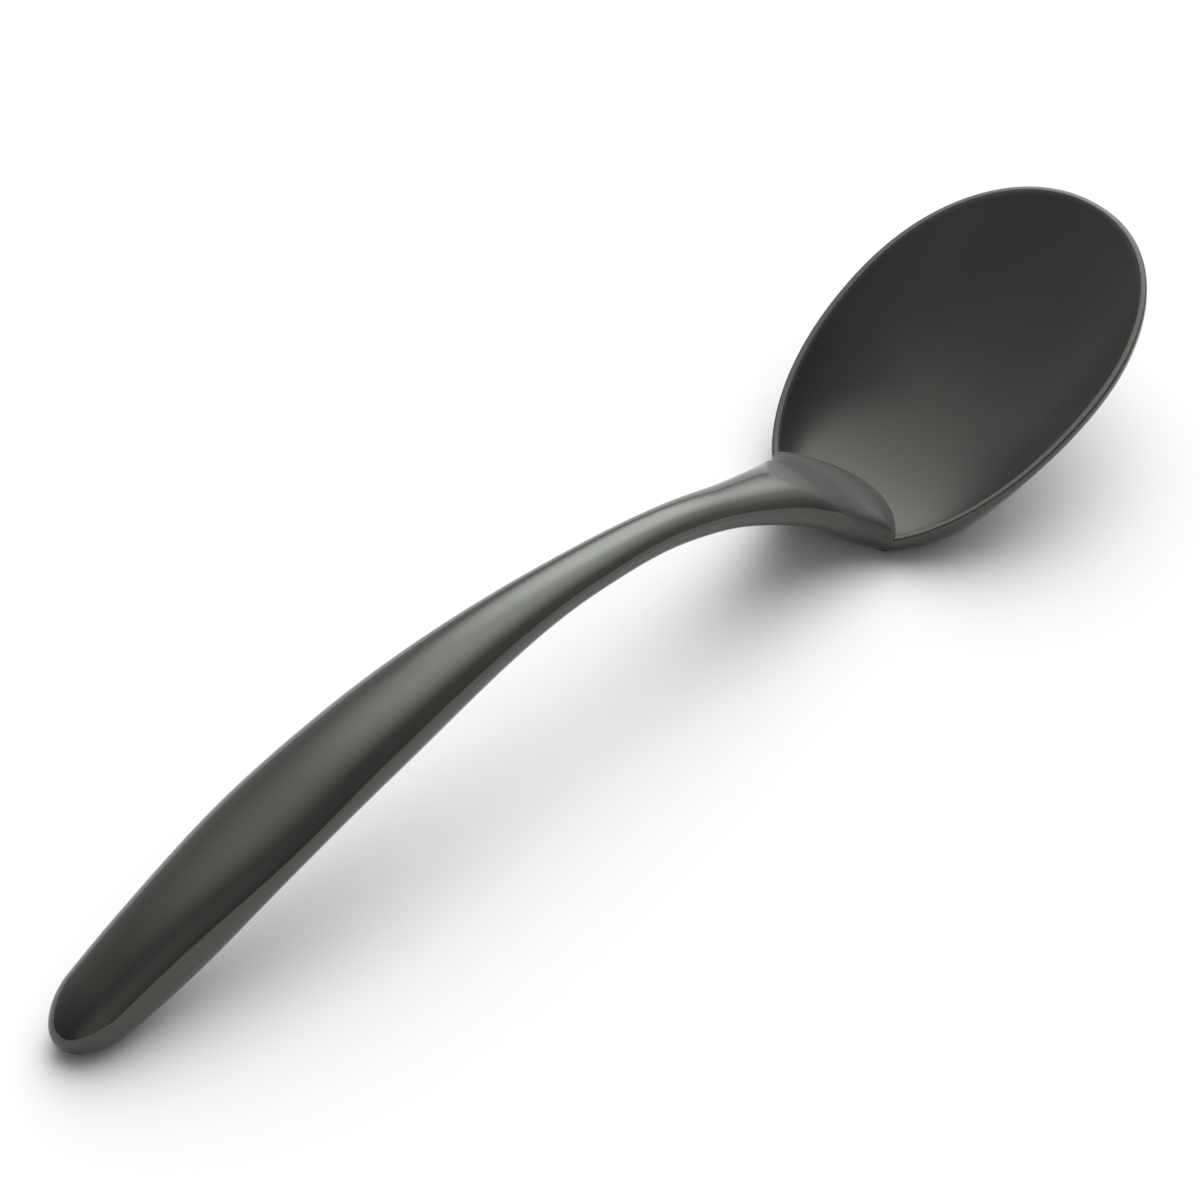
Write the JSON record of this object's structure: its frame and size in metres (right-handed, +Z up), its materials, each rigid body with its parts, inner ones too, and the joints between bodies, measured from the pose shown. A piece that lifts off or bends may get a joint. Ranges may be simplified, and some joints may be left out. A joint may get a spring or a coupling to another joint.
{
  "type": "serving spoon",
  "caption": "Serving spoon with an egg-shaped pressed bowl and an arched, swelling hollow handle, all in a dark glossy coat.",
  "frame": {"origin": "on the table the spoon lies on, under the middle of its length", "axes": "+X from the tail of the handle to the tip of the bowl, +Y to the left, +Z up"},
  "size_m": [0.3433, 0.0778, 0.0466],
  "materials": {
    "coated_steel": "gloss",
    "coated_weld": "gloss"
  },
  "bodies": {
    "root": {"bowl": "coated_steel", "handle_upper_shell": "coated_steel", "handle_lower_shell": "coated_steel", "seam_weld": "coated_weld", "heel_weld_inside": "coated_weld", "heel_weld_under": "coated_weld"}
  },
  "joints": []
}
